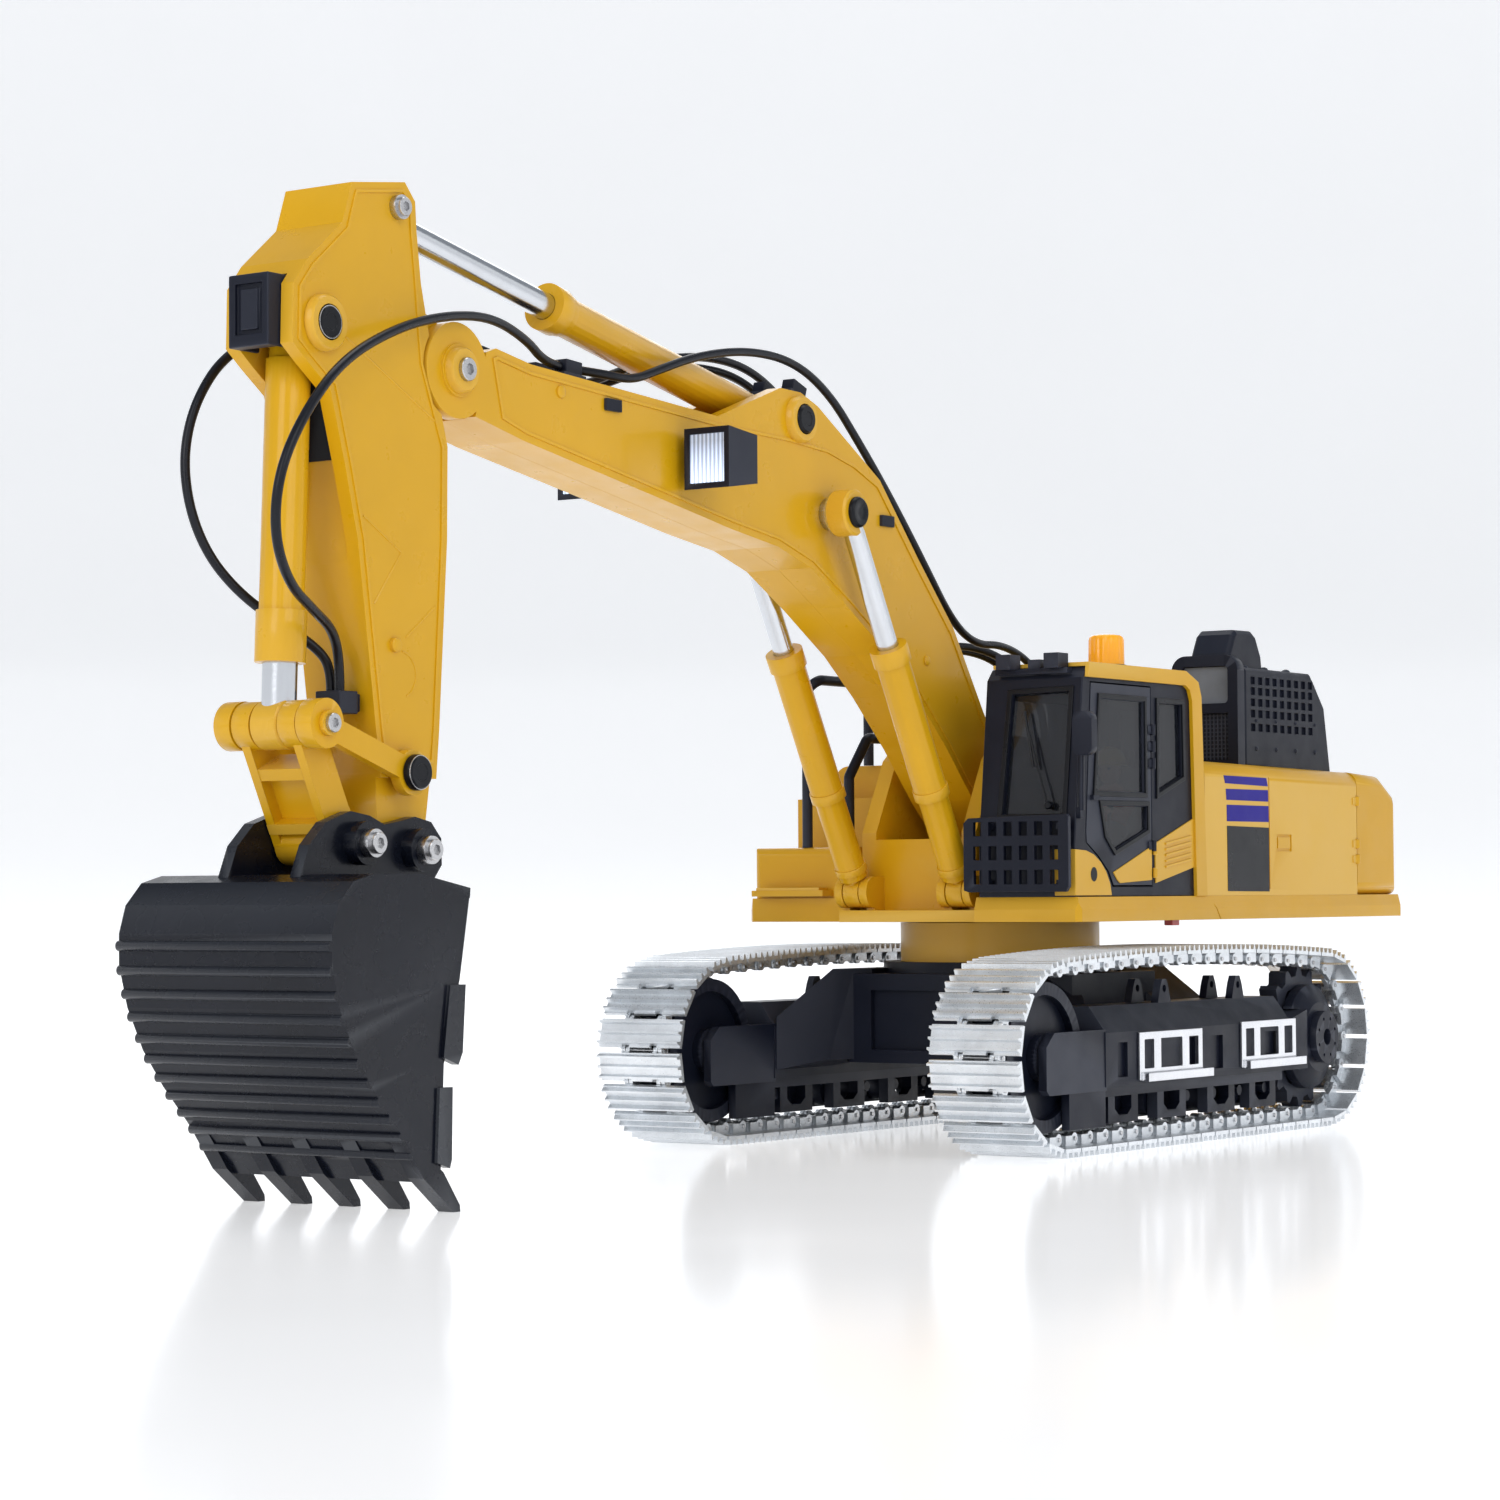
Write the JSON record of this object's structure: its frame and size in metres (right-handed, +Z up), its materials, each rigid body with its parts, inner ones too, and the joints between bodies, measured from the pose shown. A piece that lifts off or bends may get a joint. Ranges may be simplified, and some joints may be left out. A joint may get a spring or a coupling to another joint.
{
  "type": "rc excavator",
  "caption": "Tracked remote control excavator model with metal link tracks, slewing house and cab, cranked boom, stick and toothed digging bucket worked by dummy cylinders.",
  "frame": {"origin": "middle of the bounding box at ground level, hoses left out", "axes": "+X forward along the boom, +Y to the left (cab side), +Z up from the ground"},
  "size_m": [0.5249, 0.1434, 0.2482],
  "materials": {
    "yellow_paint": "gloss",
    "yellow_plastic": "gloss",
    "black_paint": "satin",
    "black_plastic": "satin",
    "track_zinc": "zinc plated",
    "chrome_trim": "polished",
    "rod_steel": "ground",
    "bolt_steel": "zinc plated",
    "clear_glass": "clear",
    "lamp_lens": "lit",
    "amber_lens": "clear",
    "red_plastic": "gloss",
    "figure_plastic": "satin",
    "board_green": "satin",
    "hose_rubber": "satin"
  },
  "bodies": {
    "undercarriage": {"carbody": "black_plastic", "slew_collar": "yellow_plastic", "track_frame_left": "black_plastic", "track_frame_right": "black_plastic", "track_shoes_left": "track_zinc", "track_shoes_right": "track_zinc", "track_pins": "bolt_steel", "final_drives": "black_plastic", "step_plates": "chrome_trim", "wheel_axles": "bolt_steel"},
    "sprocket_left": {"sprocket_left": "black_plastic"},
    "sprocket_right": {"sprocket_right": "black_plastic"},
    "idler_left": {"idler_left": "black_plastic"},
    "idler_right": {"idler_right": "black_plastic"},
    "house": {"deck": "yellow_plastic", "boom_bracket": "yellow_paint", "engine_body": "yellow_plastic", "counterweight": "yellow_plastic", "right_boxes": "yellow_plastic", "hood_grille": "black_plastic", "intake_frame": "black_plastic", "exhaust_cap": "black_plastic", "handrails": "black_plastic", "valve_block": "black_plastic", "cab_shell": "black_plastic", "cab_roof": "yellow_plastic", "cab_glass": "clear_glass", "seat": "black_plastic", "operator": "figure_plastic", "battery": "black_plastic", "circuit_board": "board_green", "cab_fittings": "black_plastic", "beacon": "amber_lens", "front_guard": "black_plastic"},
    "cab_door": {"cab_door": "black_plastic", "door_glass": "clear_glass"},
    "power_switch": {"power_switch": "red_plastic"},
    "boom": {"boom_left_shell": "yellow_paint", "boom_right_shell": "yellow_paint", "boom_pins": "bolt_steel", "work_lights": "black_plastic", "light_lenses": "lamp_lens", "cable_guides": "black_plastic", "hose_loops": "hose_rubber", "boom_hoses": "hose_rubber"},
    "boom_barrel_left": {"boom_barrel_left": "yellow_paint"},
    "boom_barrel_right": {"boom_barrel_right": "yellow_paint"},
    "boom_rod_left": {"boom_rod_left": "rod_steel"},
    "boom_rod_right": {"boom_rod_right": "rod_steel"},
    "stick_barrel": {"stick_barrel": "yellow_paint"},
    "stick_rod": {"stick_rod": "rod_steel"},
    "stick": {"stick_shell": "yellow_paint", "stick_pins": "bolt_steel", "stick_covers": "black_plastic"},
    "bucket_barrel": {"bucket_barrel": "yellow_paint"},
    "bucket_rod": {"bucket_rod": "rod_steel"},
    "rockers": {"rocker_links": "yellow_paint"},
    "h_link": {"h_link": "yellow_paint"},
    "bucket": {"bucket_shell": "black_paint", "bucket_pins": "bolt_steel"}
  },
  "joints": [
    {"name": "slew", "type": "hinge", "parent": "undercarriage", "child": "house", "pos_m": [-0.09582, 0, 0.0658], "axis": [0, 0, 1], "continuous": true},
    {"name": "sprocket_spin_left", "type": "hinge", "parent": "undercarriage", "child": "sprocket_left", "pos_m": [-0.18113, 0.0571, 0.028], "axis": [0, 1, 0], "continuous": true},
    {"name": "idler_spin_left", "type": "hinge", "parent": "undercarriage", "child": "idler_left", "pos_m": [-0.01052, 0.0571, 0.028], "axis": [0, 1, 0], "continuous": true},
    {"name": "sprocket_spin_right", "type": "hinge", "parent": "undercarriage", "child": "sprocket_right", "pos_m": [-0.18113, -0.0571, 0.028], "axis": [0, 1, 0], "continuous": true},
    {"name": "idler_spin_right", "type": "hinge", "parent": "undercarriage", "child": "idler_right", "pos_m": [-0.01052, -0.0571, 0.028], "axis": [0, 1, 0], "continuous": true},
    {"name": "boom_lift", "type": "hinge", "parent": "house", "child": "boom", "pos_m": [-0.08783, 0, 0.092], "axis": [0, -1, 0], "range_deg": [-20, 22], "deforming": ["boom_hoses"]},
    {"name": "stick_swing", "type": "hinge", "parent": "boom", "child": "stick", "pos_m": [0.18418, 0, 0.2043], "axis": [0, -1, 0], "range_deg": [-15, 30], "deforming": ["hose_loops"]},
    {"name": "bucket_curl", "type": "hinge", "parent": "stick", "child": "bucket", "pos_m": [0.20367, 0, 0.0855], "axis": [0, -1, 0], "range_deg": [-80, 15]},
    {"name": "boom_cylinder_pivot_left", "type": "hinge", "parent": "house", "child": "boom_barrel_left", "pos_m": [-0.04283, 0.018, 0.0747], "axis": [0, -1, 0], "range_deg": [-21.01, 23.1]},
    {"name": "boom_cylinder_stroke_left", "type": "slide", "parent": "boom_barrel_left", "child": "boom_rod_left", "axis": [0.4881, 0, 0.8728], "range_m": [-0.01592, 0.01751]},
    {"name": "boom_cylinder_pivot_right", "type": "hinge", "parent": "house", "child": "boom_barrel_right", "pos_m": [-0.04283, -0.018, 0.0747], "axis": [0, -1, 0], "range_deg": [-21.01, 23.1]},
    {"name": "boom_cylinder_stroke_right", "type": "slide", "parent": "boom_barrel_right", "child": "boom_rod_right", "axis": [0.4881, 0, 0.8728], "range_m": [-0.01592, 0.01751]},
    {"name": "stick_cylinder_pivot", "type": "hinge", "parent": "boom", "child": "stick_barrel", "pos_m": [0.03148, 0, 0.2076], "axis": [0, -1, 0], "range_deg": [-2.11, 4.2]},
    {"name": "stick_cylinder_stroke", "type": "slide", "parent": "stick_barrel", "child": "stick_rod", "axis": [0.9818, 0, 0.1899], "range_m": [-0.01784, 0.00895]},
    {"name": "rocker_pivot", "type": "hinge", "parent": "stick", "child": "rockers", "pos_m": [0.20517, 0, 0.1042], "axis": [0, -1, 0], "range_deg": [-54.73, 10.37]},
    {"name": "h_link_pivot", "type": "hinge", "parent": "rockers", "child": "h_link", "pos_m": [0.23838, 0, 0.115], "axis": [0, -1, 0], "range_deg": [-5.6, 29.57]},
    {"name": "bucket_cylinder_pivot", "type": "hinge", "parent": "stick", "child": "bucket_barrel", "pos_m": [0.23417, 0, 0.21], "axis": [0, -1, 0], "range_deg": [-1.75, 0.33]},
    {"name": "bucket_cylinder_stroke", "type": "slide", "parent": "bucket_barrel", "child": "bucket_rod", "axis": [0.0442, 0, -0.999], "range_m": [-0.00597, 0.0315]},
    {"name": "door_swing", "type": "hinge", "parent": "house", "child": "cab_door", "pos_m": [-0.08163, 0.06175, 0.105], "axis": [0, 0, 1], "range_deg": [0, 100]},
    {"name": "power_switch_slide", "type": "slide", "parent": "house", "child": "power_switch", "axis": [1, 0, 0], "range_m": [0, 0.0024]}
  ],
  "couplings": [
    {"joint": "idler_spin_left", "follows": "sprocket_spin_left", "ratio": 1},
    {"joint": "idler_spin_right", "follows": "sprocket_spin_right", "ratio": 1},
    {"joint": "boom_cylinder_pivot_left", "follows": "boom_lift", "ratio": 1.0459},
    {"joint": "boom_cylinder_stroke_left", "follows": "boom_lift", "m_per_rad": 0.045427},
    {"joint": "boom_cylinder_pivot_right", "follows": "boom_lift", "ratio": 1.0459},
    {"joint": "boom_cylinder_stroke_right", "follows": "boom_lift", "m_per_rad": 0.045427},
    {"joint": "stick_cylinder_pivot", "follows": "stick_swing", "ratio": 0.1395},
    {"joint": "stick_cylinder_stroke", "follows": "stick_swing", "m_per_rad": -0.033966},
    {"joint": "rocker_pivot", "follows": "bucket_curl", "ratio": 0.6825},
    {"joint": "h_link_pivot", "follows": "bucket_curl", "ratio": -0.3687},
    {"joint": "bucket_cylinder_pivot", "follows": "bucket_curl", "ratio": 0.0218},
    {"joint": "bucket_cylinder_stroke", "follows": "bucket_curl", "m_per_rad": -0.02251}
  ]
}
